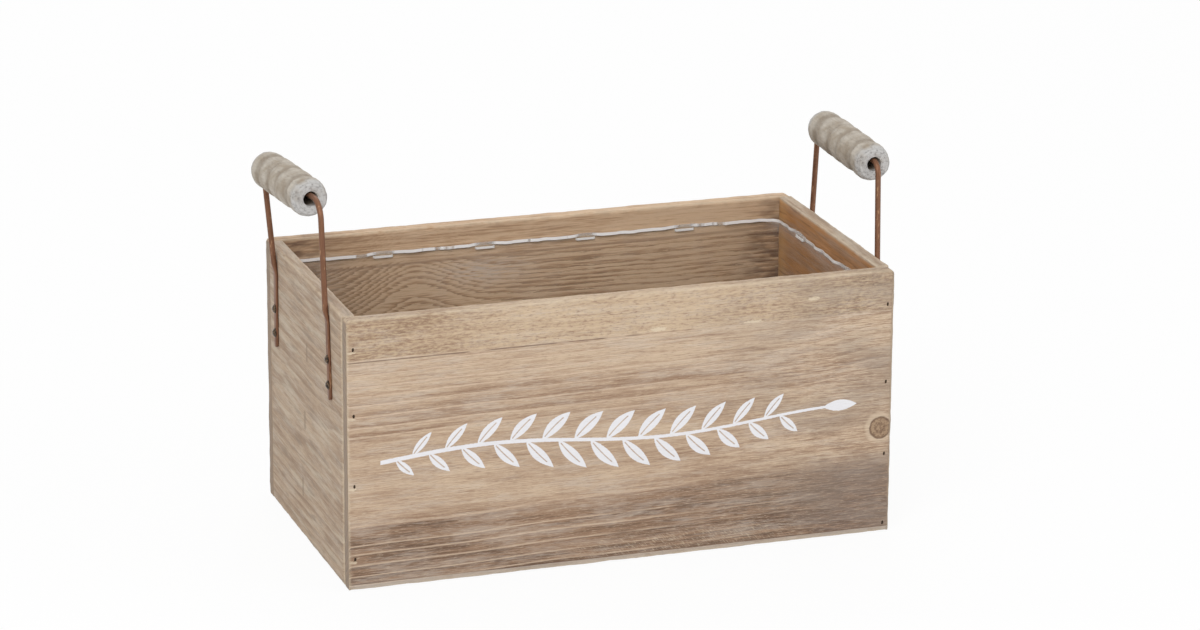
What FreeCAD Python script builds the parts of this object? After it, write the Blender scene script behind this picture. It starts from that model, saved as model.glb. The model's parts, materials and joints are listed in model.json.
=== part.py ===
# Wooden herb planter: an open box of four boards round a bottom panel, with a
# clear film liner stapled inside and a wire bail with a turned grip at each end.
# Millimetres. The origin is on the ground under the middle of the box, +X runs
# along the length to the right, the front faces -Y and +Z is up.

import FreeCAD, Part
import math
import os
import Sketcher
from FreeCAD import Placement, Rotation, Vector

# Every size that can be set by itself.
SIZES = {
    # Box
    "box_length": 300.0,
    "box_depth": 160.0,
    "box_height": 146.0,
    "board_thickness": 8.0,
    "corner_radius": 3.0,
    "arris_chamfer": 1.0,
    # Bottom panel in its grooves
    "bottom_lift": 8.0,
    "bottom_thickness": 4.0,
    "groove_depth": 3.0,
    "groove_play": 0.2,
    # Corner brads, cut from flat wire with a T head
    "brad_thickness": 1.1,
    "brad_width": 1.3,
    "brad_length": 25.0,
    "brad_head_width": 2.4,
    "brad_head_thickness": 0.6,
    "brad_sink": 0.6,
    "brad_tip_length": 1.5,
    "pilot_play": 0.05,
    # Bail wire and its flattened feet
    "wire_diameter": 3.0,
    "wire_stand_off": 0.1,
    "leg_length": 103.3,
    "foot_length": 41.0,
    "foot_width": 5.0,
    "foot_thickness": 1.4,
    "foot_taper": 6.0,
    "left_bail_bend": 10.0,
    "left_bail_front_foot": 52.0,
    "left_bail_front_top": 43.5,
    "left_bail_front_rise": 52.4,
    "left_bail_front_lean": 2.2,
    "left_bail_back_foot": 55.6,
    "left_bail_back_top": 54.0,
    "left_bail_back_rise": 48.6,
    "left_bail_back_lean": 7.0,
    "right_bail_bend": 6.5,
    "right_bail_front_foot": 54.5,
    "right_bail_front_top": 46.4,
    "right_bail_front_rise": 48.2,
    "right_bail_front_lean": 2.5,
    "right_bail_back_foot": 48.5,
    "right_bail_back_top": 40.1,
    "right_bail_back_rise": 50.4,
    "right_bail_back_lean": 2.5,
    # Domed nails in the feet, with a square shank
    "nail_shank": 1.6,
    "nail_length": 7.4,
    "nail_tip_length": 1.6,
    "nail_head_diameter": 5.0,
    "nail_head_height": 1.5,
    "lower_nail_above_foot": 8.0,
    "nail_spacing": 13.4,
    # Turned grips
    "grip_length": 76.0,
    "grip_end_diameter": 18.6,
    "grip_groove_diameter": 19.0,
    "grip_inner_groove_diameter": 20.0,
    "grip_bulb_width": 12.7,
    "grip_bulb_rise": 1.1,
    "grip_bead_rise": 0.8,
    "grip_middle_bead_width": 12.0,
    "grip_middle_bead_rise": 0.55,
    "grip_shoulder": 2.0,
    "grip_end_chamfer": 1.4,
    "grip_bore": 7.0,
    "grip_hang_gap": 0.3,
    "left_grip_near_end": 28.6,
    "right_grip_near_end": 41.6,
    # Film liner
    "film_thickness": 0.4,
    "film_top_below_rim": 11.5,
    "film_corner_radius": 6.0,
    "hem_width": 6.0,
    # Staples, bent from flat wire
    "staple_thickness": 0.6,
    "staple_width": 1.2,
    "staple_crown": 11.0,
    "staple_leg": 6.0,
    "staple_point_length": 0.6,
    "staple_below_film_top": 3.0,
    "long_staple_spacing": 57.7,
    "end_staple_spacing": 72.0,
}

# Heights of the corner brads, as shares of the box height.
LEFT_BRAD_HEIGHT_SHARES = (0.117, 0.388, 0.647, 0.890)
RIGHT_BRAD_HEIGHT_SHARES = (0.034, 0.301, 0.576, 0.870)

LONG_STAPLES = 4
END_STAPLES = 2
NAILS_PER_FOOT = 2

# How near a measure has to be to count as the same, as a share of it.
CLOSE_SHARE = 0.01

# A round wire's section is four arcs, and this is where the first one starts.
SECTION_START_DEGREES = 60.0

# The two ends of a pair: left and right, or front and back.
SIDE_WORDS = {-1: "left", 1: "right"}
END_WORDS = {-1: "front", 1: "back"}

ALONG_X = Vector(1, 0, 0)
ALONG_Y = Vector(0, 1, 0)
UP = Vector(0, 0, 1)

# Sketcher's own numbers for a sketch's axes and for the parts of a line.
V_AXIS, H_AXIS = range(-2, 0)
START, END = range(1, 3)

document = FreeCAD.newDocument("herb_planter")
sheet = document.addObject("Spreadsheet::Sheet", "Sizes")
for row, (alias, value) in enumerate(SIZES.items(), start=1):
    sheet.set(f"A{row}", alias)
    sheet.set(f"B{row}", str(value))
    sheet.setAlias(f"B{row}", alias)
document.recompute()


class Size:
    """A length that knows its value and the sheet formula that gives it."""

    def __init__(self, formula, value):
        self.formula = formula
        self.value = value

    def joined(self, sign, other, value):
        text = other.formula if isinstance(other, Size) else repr(other)
        return Size(f"({self.formula} {sign} {text})", value)

    def __add__(self, other):
        return self.joined("+", other, self.value + other.value)

    def __sub__(self, other):
        return self.joined("-", other, self.value - other.value)

    def __mul__(self, other):
        factor = other.value if isinstance(other, Size) else other
        return self.joined("*", other, self.value * factor)

    def __truediv__(self, other):
        factor = other.value if isinstance(other, Size) else other
        return self.joined("/", other, self.value / factor)

    def __neg__(self):
        return self * -1


def size(alias):
    return Size(f"Sizes.{alias}", sheet.get(alias))


NOTHING = Size("0", 0.0)

half_length = size("box_length") / 2
half_depth = size("box_depth") / 2
height = size("box_height")
board = size("board_thickness")
inner_length = half_length - board
inner_depth = half_depth - board
floor_height = size("bottom_lift") + size("bottom_thickness")
film = size("film_thickness")
film_top = height - size("film_top_below_rim")
staple_height = film_top - size("staple_below_film_top")
wire_radius = size("wire_diameter") / 2
play = size("pilot_play")


# Bodies, sketches and features

def new_body(name):
    body = document.addObject("PartDesign::Body", name)
    body.Label = name
    body.AllowCompound = True
    return body


def bind(item, name, length):
    item.setExpression(name, length.formula)


def sketch_on(body, role, name, x=NOTHING, y=NOTHING, z=NOTHING):
    """A sketch on an origin plane of the body, moved in its own directions."""
    sketch = body.newObject("Sketcher::SketchObject", name)
    plane = [item for item in body.Origin.OriginFeatures if item.Role == role][0]
    sketch.AttachmentSupport = [(plane, "")]
    sketch.MapMode = "FlatFace"
    bind(sketch, "AttachmentOffset.Base.x", x)
    bind(sketch, "AttachmentOffset.Base.y", y)
    bind(sketch, "AttachmentOffset.Base.z", z)
    return sketch


def bind_constraint(sketch, *what):
    """Add a constraint whose last item is a bound length."""
    length = what[-1]
    index = sketch.addConstraint(Sketcher.Constraint(*what[:-1], length.value))
    bind(sketch, f"Constraints[{index}]", length)


def pin_point(sketch, geometry, point, x, y):
    for kind, axis, length in (("DistanceX", V_AXIS, x), ("DistanceY", H_AXIS, y)):
        if length.value == 0:
            sketch.addConstraint(Sketcher.Constraint("PointOnObject", geometry, point, axis))
        else:
            bind_constraint(sketch, kind, H_AXIS, START, geometry, point, length)


def turned_arc(start, end, radius):
    """The short arc from start to end that turns to the left."""
    chord = end - start
    reach = math.sqrt(max(radius ** 2 - (chord.Length / 2) ** 2, 0.0))
    left = Vector(-chord.y, chord.x, 0).normalize()
    centre = start + chord / 2 + left * reach
    angles = [math.atan2(p.y - centre.y, p.x - centre.x) for p in (start, end)]
    return Part.ArcOfCircle(Part.Circle(centre, UP, radius), *angles)


def add_outline(sketch, corners, arcs=None):
    """A closed outline through the corners. Arcs gives, for a corner's number,
    the radius of the arc that leaves it and its turn: 1 left or -1 right."""
    arcs = arcs or {}
    points = [Vector(x.value, y.value, 0) for x, y in corners]
    count = len(points)
    pieces = []
    for i in range(count):
        start, end = points[i], points[(i + 1) % count]
        if i not in arcs:
            pieces.append((sketch.addGeometry(Part.LineSegment(start, end)), START, END))
        elif arcs[i][1] > 0:
            arc = turned_arc(start, end, arcs[i][0].value)
            pieces.append((sketch.addGeometry(arc), START, END))
        else:
            arc = turned_arc(end, start, arcs[i][0].value)
            pieces.append((sketch.addGeometry(arc), END, START))
    for i, (geometry, first, last) in enumerate(pieces):
        following, its_first, _ = pieces[(i + 1) % count]
        sketch.addConstraint(Sketcher.Constraint("Coincident", geometry, last, following, its_first))
    for i, (geometry, first, last) in enumerate(pieces):
        pin_point(sketch, geometry, first, *corners[i])
        if i in arcs:
            bind_constraint(sketch, "Radius", geometry, arcs[i][0])


def add_rectangle(sketch, left, right, low, high):
    add_outline(sketch, [(left, low), (right, low), (right, high), (left, high)])


def add_rounded_rectangle(sketch, half_x, half_y, radius):
    near_x = half_x - radius
    near_y = half_y - radius
    corners = [
        (-near_x, -half_y), (near_x, -half_y), (half_x, -near_y), (half_x, near_y),
        (near_x, half_y), (-near_x, half_y), (-half_x, near_y), (-half_x, -near_y),
    ]
    add_outline(sketch, corners, {i: (radius, 1) for i in (1, 3, 5, 7)})


def pad(body, sketch, length, reverse=False, both_ways=False):
    feature = body.newObject("PartDesign::Pad", sketch.Name + "_pad")
    feature.Profile = sketch
    feature.Reversed = reverse
    feature.SideType = "Symmetric" if both_ways else "One side"
    bind(feature, "Length", length)
    document.recompute()
    return feature


def pocket(body, sketch, length, reverse=False, both_ways=False):
    """Cut to a depth, and make sure that the cut took something away."""
    before = body.Shape.Volume
    feature = body.newObject("PartDesign::Pocket", sketch.Name + "_pocket")
    feature.Profile = sketch
    feature.Reversed = reverse
    feature.SideType = "Symmetric" if both_ways else "One side"
    bind(feature, "Length", length)
    document.recompute()
    if not body.Shape.Volume < before:
        raise RuntimeError(f"{sketch.Name} cuts nothing")
    return feature


def add_slot(sketch, x, y, wide, high):
    """A rectangle round a point."""
    add_rectangle(sketch, x - wide / 2, x + wide / 2, y - high / 2, y + high / 2)


def revolve(body, sketch, axis):
    feature = body.newObject("PartDesign::Revolution", sketch.Name + "_turned")
    feature.Profile = sketch
    feature.ReferenceAxis = (sketch, [axis])
    feature.Angle = 360
    document.recompute()
    return feature


def ease_edges(body, base, kind, name, amount, wanted):
    """Fillet or chamfer the edges of a feature that the given test accepts."""
    names = [f"Edge{i}" for i, edge in enumerate(base.Shape.Edges, start=1) if wanted(edge)]
    feature = body.newObject(f"PartDesign::{kind}", name)
    feature.Base = (base, names)
    bind(feature, "Radius" if kind == "Fillet" else "Size", amount)
    document.recompute()
    return feature


def runs_along(edge, direction):
    if not isinstance(edge.Curve, Part.Line):
        return False
    return abs(edge.tangentAt(edge.FirstParameter).dot(direction)) > 1 - CLOSE_SHARE


def new_feature(name, shape):
    feature = document.addObject("Part::Feature", name)
    feature.Label = name
    feature.Shape = shape
    feature.Placement = Placement()
    return feature


# Places that several pieces share

def brad_height(side, number):
    shares = LEFT_BRAD_HEIGHT_SHARES if side < 0 else RIGHT_BRAD_HEIGHT_SHARES
    return height * shares[number]


def brad_count(side):
    return len(LEFT_BRAD_HEIGHT_SHARES if side < 0 else RIGHT_BRAD_HEIGHT_SHARES)


def brad_line(side):
    """How far along the length the brads stand: in the middle of the end board."""
    return (half_length - board / 2) * side


def add_brad_holes(sketch, side, high):
    """Slots for one corner's brads, as high as their shanks or their heads."""
    for number in range(brad_count(side)):
        add_slot(sketch, brad_line(side), brad_height(side, number),
                 size("brad_thickness") + play * 2, high + play * 2)


def staple_middles(count, spacing):
    return [spacing * (i - (count - 1) / 2) for i in range(count)]


def add_staple_holes(sketch, count, spacing):
    """Slots for the legs of one wall's staples."""
    to_leg = (size("staple_crown") - size("staple_thickness")) / 2
    for middle in staple_middles(count, spacing):
        for way in (-1, 1):
            add_slot(sketch, middle + to_leg * way, staple_height,
                     size("staple_thickness") + play * 2, size("staple_width") + play * 2)


def bail_size(side, end, what):
    return size(f"{SIDE_WORDS[side]}_bail_{END_WORDS[end]}_{what}")


def leg_place(side, end, above_foot):
    """Where a bail's leg is, along the depth and up, this far above its foot's end."""
    foot = bail_size(side, end, "foot") * end
    top = bail_size(side, end, "top") * end
    share = above_foot / size("leg_length")
    foot_height = height + bail_size(side, end, "rise") - size("leg_length")
    return foot + (top - foot) * share, foot_height + above_foot


def nail_places(side):
    places = []
    for end in (-1, 1):
        for number in range(NAILS_PER_FOOT):
            above = size("lower_nail_above_foot") + size("nail_spacing") * number
            places.append(leg_place(side, end, above))
    return places


# Boards

def long_board(name, end):
    """The front (-1) or back (1) board, which covers the ends of the end boards."""
    body = new_body(name)
    outer = -half_depth * end
    inner = -inner_depth * end
    at_front = end < 0

    outline = sketch_on(body, "XZ_Plane", name + "_outline", z=outer)
    add_rectangle(outline, -half_length, half_length, NOTHING, height)
    plank = pad(body, outline, board, reverse=at_front)
    middle = height.value / 2
    corners = ease_edges(body, plank, "Fillet", name + "_corners", size("corner_radius"),
                         lambda edge: runs_along(edge, ALONG_Y) and edge.CenterOfMass.z > middle)
    ease_edges(body, corners, "Chamfer", name + "_arrises", size("arris_chamfer"),
               lambda edge: not runs_along(edge, ALONG_Y))

    groove = sketch_on(body, "XZ_Plane", name + "_groove", z=inner)
    reach = inner_length + size("groove_depth")
    add_rectangle(groove, -reach, reach, size("bottom_lift") - size("groove_play"),
                  floor_height + size("groove_play"))
    pocket(body, groove, size("groove_depth"), reverse=at_front)

    pilots = sketch_on(body, "XZ_Plane", name + "_pilots", z=outer)
    seats = sketch_on(body, "XZ_Plane", name + "_brad_seats", z=outer)
    for side in (-1, 1):
        add_brad_holes(pilots, side, size("brad_width"))
        add_brad_holes(seats, side, size("brad_head_width"))
    pocket(body, pilots, board, reverse=not at_front)
    pocket(body, seats, size("brad_sink") + size("brad_head_thickness"), reverse=not at_front)

    staples = sketch_on(body, "XZ_Plane", name + "_staple_holes", z=inner)
    add_staple_holes(staples, LONG_STAPLES, size("long_staple_spacing"))
    pocket(body, staples, size("staple_leg"), reverse=at_front)
    return body


def end_board(name, side):
    """The left (-1) or right (1) board, which stands between the long boards."""
    body = new_body(name)
    outer = half_length * side
    inner = inner_length * side
    at_left = side < 0

    outline = sketch_on(body, "YZ_Plane", name + "_outline", z=inner)
    add_rectangle(outline, -inner_depth, inner_depth, NOTHING, height)
    plank = pad(body, outline, board, reverse=at_left)
    ease_edges(body, plank, "Chamfer", name + "_arrises", size("arris_chamfer"),
               lambda edge: runs_along(edge, ALONG_Y))

    groove = sketch_on(body, "YZ_Plane", name + "_groove", z=inner)
    add_rectangle(groove, -inner_depth, inner_depth, size("bottom_lift") - size("groove_play"),
                  floor_height + size("groove_play"))
    pocket(body, groove, size("groove_depth"), reverse=not at_left)

    bite = size("brad_sink") + size("brad_length") - board
    for end in (-1, 1):
        pilots = sketch_on(body, "XZ_Plane", f"{name}_{END_WORDS[end]}_pilots", z=-inner_depth * end)
        add_brad_holes(pilots, side, size("brad_width"))
        pocket(body, pilots, bite, reverse=end > 0)

    nails = sketch_on(body, "YZ_Plane", name + "_nail_holes", z=outer)
    hole = size("nail_shank") + play * 2
    for place in nail_places(side):
        add_slot(nails, *place, hole, hole)
    pocket(body, nails, size("nail_length") - size("foot_thickness"), reverse=at_left)

    staples = sketch_on(body, "YZ_Plane", name + "_staple_holes", z=inner)
    add_staple_holes(staples, END_STAPLES, size("end_staple_spacing"))
    pocket(body, staples, size("staple_leg"), reverse=not at_left)
    return body


def bottom_board(name):
    """The panel that lies in the grooves of the four walls."""
    body = new_body(name)
    outline = sketch_on(body, "XY_Plane", name + "_outline", z=size("bottom_lift"))
    tongue = size("groove_depth") - size("groove_play")
    reach_x = inner_length + tongue
    reach_y = inner_depth + tongue
    add_rectangle(outline, -reach_x, reach_x, -reach_y, reach_y)
    pad(body, outline, size("bottom_thickness"))
    return body


# Nails and brads

def cap_radius(width, rise):
    """The radius of a dome or bulge from its width and its rise."""
    return (width * width / 4 + rise * rise) / (rise * 2)


def brad_group(name, side, end):
    """The sunk brads of one corner, from a long board into an end board."""
    body = new_body(name)
    shank = size("brad_width") / 2
    head = size("brad_head_width") / 2
    top = (half_depth - size("brad_sink")) * end
    under_head = top - size("brad_head_thickness") * end
    point = top - size("brad_length") * end
    tip = point + size("brad_tip_length") * end
    profile = sketch_on(body, "YZ_Plane", name + "_profile", z=brad_line(side))
    for number in range(brad_count(side)):
        z = brad_height(side, number)
        add_outline(profile, [
            (top, z - head), (top, z + head), (under_head, z + head), (under_head, z + shank),
            (tip, z + shank), (point, z), (tip, z - shank), (under_head, z - shank),
            (under_head, z - head),
        ])
    pad(body, profile, size("brad_thickness"), both_ways=True)
    return body


def nail_group(name, side):
    """The domed nails of one bail, through its two flattened feet."""
    body = new_body(name)
    head = size("nail_head_diameter") / 2
    half_shank = size("nail_shank") / 2
    under_head = (half_length + size("foot_thickness")) * side
    crown = under_head + size("nail_head_height") * side
    point = under_head - size("nail_length") * side
    tip = point + size("nail_tip_length") * side
    dome = cap_radius(size("nail_head_diameter"), size("nail_head_height"))
    for number, (y, z) in enumerate(nail_places(side), start=1):
        cap = sketch_on(body, "XY_Plane", f"{name}_{number}_head", y=y, z=z)
        add_outline(cap, [(crown, NOTHING), (under_head, head), (under_head, NOTHING)],
                    {0: (dome, side)})
        revolve(body, cap, "H_Axis")
        shank = sketch_on(body, "XY_Plane", f"{name}_{number}_shank", y=y, z=z)
        add_outline(shank, [
            (under_head, -half_shank), (under_head, half_shank), (tip, half_shank),
            (point, NOTHING), (tip, -half_shank),
        ])
        pad(body, shank, size("nail_shank"), both_ways=True)
    return body


# Wire forms

def bent_path(points, radius):
    """Straight runs through the points, joined by tangent arcs of one radius."""
    edges = []
    start = points[0]
    for before, corner, after in zip(points, points[1:], points[2:]):
        to_before = (before - corner).normalize()
        to_after = (after - corner).normalize()
        half_angle = to_before.getAngle(to_after) / 2
        trim = radius / math.tan(half_angle)
        first = corner + to_before * trim
        last = corner + to_after * trim
        towards_centre = (to_before + to_after).normalize()
        middle = corner + towards_centre * (radius / math.sin(half_angle) - radius)
        edges.append(Part.LineSegment(start, first).toShape())
        edges.append(Part.Arc(first, middle, last).toShape())
        start = last
    edges.append(Part.LineSegment(start, points[-1]).toShape())
    return Part.Wire(edges)


def section(centre, across, through, corners, bulges):
    """A closed section of four arcs and lines in the plane of two directions."""
    points = [centre + across * u + through * v for u, v in corners]
    swells = [centre + across * u + through * v for u, v in bulges]
    edges = []
    for i, swell in enumerate(swells):
        start, end = points[i], points[(i + 1) % len(points)]
        if (swell - (start + end) / 2).Length < (end - start).Length * CLOSE_SHARE:
            edges.append(Part.LineSegment(start, end).toShape())
        else:
            edges.append(Part.Arc(start, swell, end).toShape())
    return Part.Wire(edges)


def round_section(centre, across, through, radius):
    u = radius * math.cos(math.radians(SECTION_START_DEGREES))
    v = radius * math.sin(math.radians(SECTION_START_DEGREES))
    return section(centre, across, through, [(u, v), (-u, v), (-u, -v), (u, -v)],
                   [(0, radius), (-radius, 0), (0, -radius), (radius, 0)])


def flat_section(centre, across, through, width, thickness):
    """A flattened wire: two flats and two round edges."""
    u = (width - thickness) / 2
    v = thickness / 2
    return section(centre, across, through, [(u, v), (-u, v), (-u, -v), (u, -v)],
                   [(0, v), (-u - v, 0), (0, -v), (u + v, 0)])


def bail_points(side, end):
    """The foot's end, the foot's top, the start of the round wire and the top corner."""
    foot_out = size("foot_thickness") / 2
    wire_out = wire_radius + size("wire_stand_off")
    stations = [
        (foot_out, NOTHING),
        (foot_out, size("foot_length")),
        (wire_out, size("foot_length") + size("foot_taper")),
        (bail_size(side, end, "lean"), size("leg_length")),
    ]
    points = []
    for out, above in stations:
        y, z = leg_place(side, end, above)
        points.append(Vector((half_length + out).value * side, y.value, z.value))
    return points


def crossways(lengthwise):
    """Two directions square to a run of wire: along the wall, and about out of it."""
    across = lengthwise.cross(ALONG_X).normalize()
    return across, across.cross(lengthwise).normalize()


def flattened_foot(side, end):
    """The flat foot with its rounded end, and its taper up to the round wire."""
    foot_end, foot_top, wire_start, corner = bail_points(side, end)
    width = size("foot_width").value
    thickness = size("foot_thickness").value
    lengthwise = (foot_top - foot_end).normalize()
    across, through = crossways(lengthwise)

    outline = flat_section(foot_end, across, through, width, thickness)
    strip = Part.Face(outline).extrude(foot_top - foot_end)

    edge_out = across * (width / 2)
    edge_start = foot_end + lengthwise * (width / 2)
    plan = Part.Wire([
        Part.LineSegment(foot_top + edge_out, edge_start + edge_out).toShape(),
        Part.Arc(edge_start + edge_out, foot_end, edge_start - edge_out).toShape(),
        Part.LineSegment(edge_start - edge_out, foot_top - edge_out).toShape(),
        Part.LineSegment(foot_top - edge_out, foot_top + edge_out).toShape(),
    ])
    plan.translate(through * -thickness)
    foot = strip.common(Part.Face(plan).extrude(through * thickness * 2))

    wire_across, wire_through = crossways((corner - wire_start).normalize())
    taper = Part.makeLoft([
        flat_section(foot_top, across, through, width, thickness),
        round_section(wire_start, wire_across, wire_through, wire_radius.value),
    ], True, False)
    return foot.fuse(taper)


def bail(name, side):
    """A wire bent over twice, with both feet hammered flat and pierced."""
    front = bail_points(side, -1)
    back = bail_points(side, 1)
    path = bent_path([front[2], front[3], back[3], back[2]],
                     size(f"{SIDE_WORDS[side]}_bail_bend").value)
    section_circle = Part.makeCircle(wire_radius.value, front[2], front[3] - front[2])
    wire = path.makePipeShell([Part.Wire(section_circle)], True, False)
    shape = wire.fuse([flattened_foot(side, -1), flattened_foot(side, 1)])
    hole = (size("nail_shank") + play * 2).value
    hole_length = size("foot_thickness").value * 4
    for y, z in nail_places(side):
        middle = Vector(half_length.value * side, y.value, z.value)
        corner = middle - Vector(hole_length, hole, hole) / 2
        shape = shape.cut(Part.makeBox(hole_length, hole, hole, corner))
    return new_feature(name, shape.removeSplitter())


# Staples

def staple_group(name, count, spacing, wall, across_ends=False):
    """A row of staples whose crowns lie on the hem of one wall. The wall's inner
    face is this far from the middle, along the depth or, at the ends, the length."""
    body = new_body(name)
    outwards = 1 if wall.value > 0 else -1
    thickness = size("staple_thickness")
    half_crown = size("staple_crown") / 2
    under_crown = wall - film * (2 * outwards)
    crown = under_crown - thickness * outwards
    point = wall + size("staple_leg") * outwards
    shoulder = crown + thickness * outwards
    tip = point - size("staple_point_length") * outwards
    profile = sketch_on(body, "XY_Plane", name + "_profile", z=staple_height)
    for middle in staple_middles(count, spacing):
        low, high = middle - half_crown, middle + half_crown
        corners = [
            (low + thickness, crown), (high - thickness, crown), (high, shoulder), (high, tip),
            (high - thickness, point), (high - thickness, under_crown), (low + thickness, under_crown),
            (low + thickness, point), (low, tip), (low, shoulder),
        ]
        if across_ends:
            corners = [(depth, along) for along, depth in corners]
        add_outline(profile, corners)
    pad(body, profile, size("staple_width"), both_ways=True)
    return body


# Turned grips

def bead_corners(start, width, first, last, rise):
    """A bead's profile, as points of its radius and its place along the grip: it
    rises from one groove over a shoulder to its crown and falls to the next."""
    shoulder = size("grip_shoulder")
    crown = (first + last) / 2 + rise
    return [(first, start), (crown, start + shoulder), (crown, start + width - shoulder)]


def grip(name, side):
    """A turned grip with two bulbs and three beads, loose on the bail's wire."""
    body = new_body(name)
    length = size("grip_length")
    bulb = size("grip_bulb_width")
    middle_bead = size("grip_middle_bead_width")
    bead = (length - bulb * 2 - middle_bead) / 2
    end = size("grip_end_diameter") / 2
    groove = size("grip_groove_diameter") / 2
    inner_groove = size("grip_inner_groove_diameter") / 2
    chamfer = size("grip_end_chamfer")
    bore = size("grip_bore") / 2
    bulb_rise = size("grip_bulb_rise")
    bead_rise = size("grip_bead_rise")
    middle_rise = size("grip_middle_bead_rise")

    corners = [(bore, NOTHING), (end - chamfer, NOTHING)]
    corners += bead_corners(chamfer, bulb - chamfer, end, groove, bulb_rise)
    corners += bead_corners(bulb, bead, groove, inner_groove, bead_rise)
    corners += bead_corners(bulb + bead, middle_bead, inner_groove, inner_groove, middle_rise)
    corners += bead_corners(bulb + bead + middle_bead, bead, inner_groove, groove, bead_rise)
    corners += bead_corners(length - bulb, bulb - chamfer, groove, end, bulb_rise)
    corners += [(end, length - chamfer), (end - chamfer, length), (bore, length)]
    profile = sketch_on(body, "XY_Plane", name + "_profile")
    add_outline(profile, corners)
    revolve(body, profile, "V_Axis")
    body.Placement = grip_placement(side)
    return body


def grip_placement(side):
    """The grip hangs on the straight top of its bail, its bore just under the wire."""
    front = bail_points(side, -1)[3]
    back = bail_points(side, 1)[3]
    lengthwise = (back - front).normalize()
    near_end = -size(f"{SIDE_WORDS[side]}_grip_near_end").value
    on_wire = front + lengthwise * ((near_end - front.y) / lengthwise.y)
    downwards = (lengthwise * UP.dot(lengthwise) - UP).normalize()
    drop = (size("grip_bore") / 2 - wire_radius - size("grip_hang_gap")).value
    return Placement(on_wire + downwards * drop, Rotation(ALONG_Y, lengthwise))


# Liner

def film_liner(name):
    """The clear film tub with its hemmed top, on the bottom panel."""
    body = new_body(name)
    corner = size("film_corner_radius")
    hem_bottom = film_top - size("hem_width")

    outside = sketch_on(body, "XY_Plane", name + "_outside", z=floor_height)
    add_rounded_rectangle(outside, inner_length, inner_depth, corner)
    pad(body, outside, film_top - floor_height)

    mouth = sketch_on(body, "XY_Plane", name + "_mouth", z=film_top)
    hem = film * 2
    add_rounded_rectangle(mouth, inner_length - hem, inner_depth - hem, corner - hem)
    pocket(body, mouth, size("hem_width"))

    inside = sketch_on(body, "XY_Plane", name + "_inside", z=hem_bottom)
    add_rounded_rectangle(inside, inner_length - film, inner_depth - film, corner - film)
    pocket(body, inside, hem_bottom - floor_height - film)

    across = sketch_on(body, "XZ_Plane", name + "_long_staple_holes")
    add_staple_holes(across, LONG_STAPLES, size("long_staple_spacing"))
    pocket(body, across, size("box_depth"), both_ways=True)
    lengthwise = sketch_on(body, "YZ_Plane", name + "_end_staple_holes")
    add_staple_holes(lengthwise, END_STAPLES, size("end_staple_spacing"))
    pocket(body, lengthwise, size("box_length"), both_ways=True)
    return body


# Assembly

parts = [
    long_board("front_board", -1),
    long_board("back_board", 1),
    end_board("left_end_board", -1),
    end_board("right_end_board", 1),
    bottom_board("bottom_board"),
    film_liner("film_liner"),
]
for end in (-1, 1):
    for side in (-1, 1):
        parts.append(brad_group(f"{END_WORDS[end]}_{SIDE_WORDS[side]}_brads", side, end))
for side in (-1, 1):
    parts.append(bail(f"{SIDE_WORDS[side]}_bail", side))
    parts.append(nail_group(f"{SIDE_WORDS[side]}_bail_nails", side))
    parts.append(grip(f"{SIDE_WORDS[side]}_grip", side))
for end in (-1, 1):
    parts.append(staple_group(f"{END_WORDS[end]}_staples", LONG_STAPLES, size("long_staple_spacing"),
                              inner_depth * end))
for side in (-1, 1):
    parts.append(staple_group(f"{SIDE_WORDS[side]}_end_staples", END_STAPLES, size("end_staple_spacing"),
                              inner_length * side, across_ends=True))

document.recompute()
for item in document.Objects:
    if "Invalid" in item.State or "Error" in item.State:
        raise RuntimeError(f"{item.Label} did not build: {item.State}")
for part in parts:
    if part.Shape.isNull() or not part.Shape.isValid():
        raise RuntimeError(f"{part.Label} has no valid shape")

os.makedirs("parts", exist_ok=True)
for part in parts:
    part.Shape.exportStep(f"parts/{part.Label}.step")
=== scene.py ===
# A wooden herb planter: four brushed and whitewashed boards round a film liner,
# with a wire bail and a turned grip at each end. Metres, in the CAD model's frame.

import json
import math

import bmesh
import bpy
from mathutils import Matrix, Vector, noise


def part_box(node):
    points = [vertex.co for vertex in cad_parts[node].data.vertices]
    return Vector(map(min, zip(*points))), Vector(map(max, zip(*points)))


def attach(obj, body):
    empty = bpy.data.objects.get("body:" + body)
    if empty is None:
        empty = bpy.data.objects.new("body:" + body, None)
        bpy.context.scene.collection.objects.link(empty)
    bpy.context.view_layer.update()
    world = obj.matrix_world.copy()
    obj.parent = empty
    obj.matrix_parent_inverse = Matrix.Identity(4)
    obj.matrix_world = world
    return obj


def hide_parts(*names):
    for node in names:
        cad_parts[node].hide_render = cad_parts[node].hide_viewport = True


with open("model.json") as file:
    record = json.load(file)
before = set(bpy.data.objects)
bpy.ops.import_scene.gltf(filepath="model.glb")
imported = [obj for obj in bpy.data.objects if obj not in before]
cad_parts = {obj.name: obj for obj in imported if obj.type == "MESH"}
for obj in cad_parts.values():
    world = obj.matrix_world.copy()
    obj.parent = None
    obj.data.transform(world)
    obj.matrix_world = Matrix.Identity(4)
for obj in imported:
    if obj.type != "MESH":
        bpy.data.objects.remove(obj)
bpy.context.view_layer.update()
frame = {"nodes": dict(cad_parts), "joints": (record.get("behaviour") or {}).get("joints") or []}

MM = 0.001
RIGHT = Vector((1, 0, 0))
BACK = Vector((0, 1, 0))
UP = Vector((0, 0, 1))


# Shader sums

def colour(red, green, blue):
    """A colour as it looks on a screen, 0 to 255, for a shader."""
    def linear(part):
        part /= 255
        return part / 12.92 if part <= 0.04045 else ((part + 0.055) / 1.055) ** 2.4
    return linear(red), linear(green), linear(blue), 1.0


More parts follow.
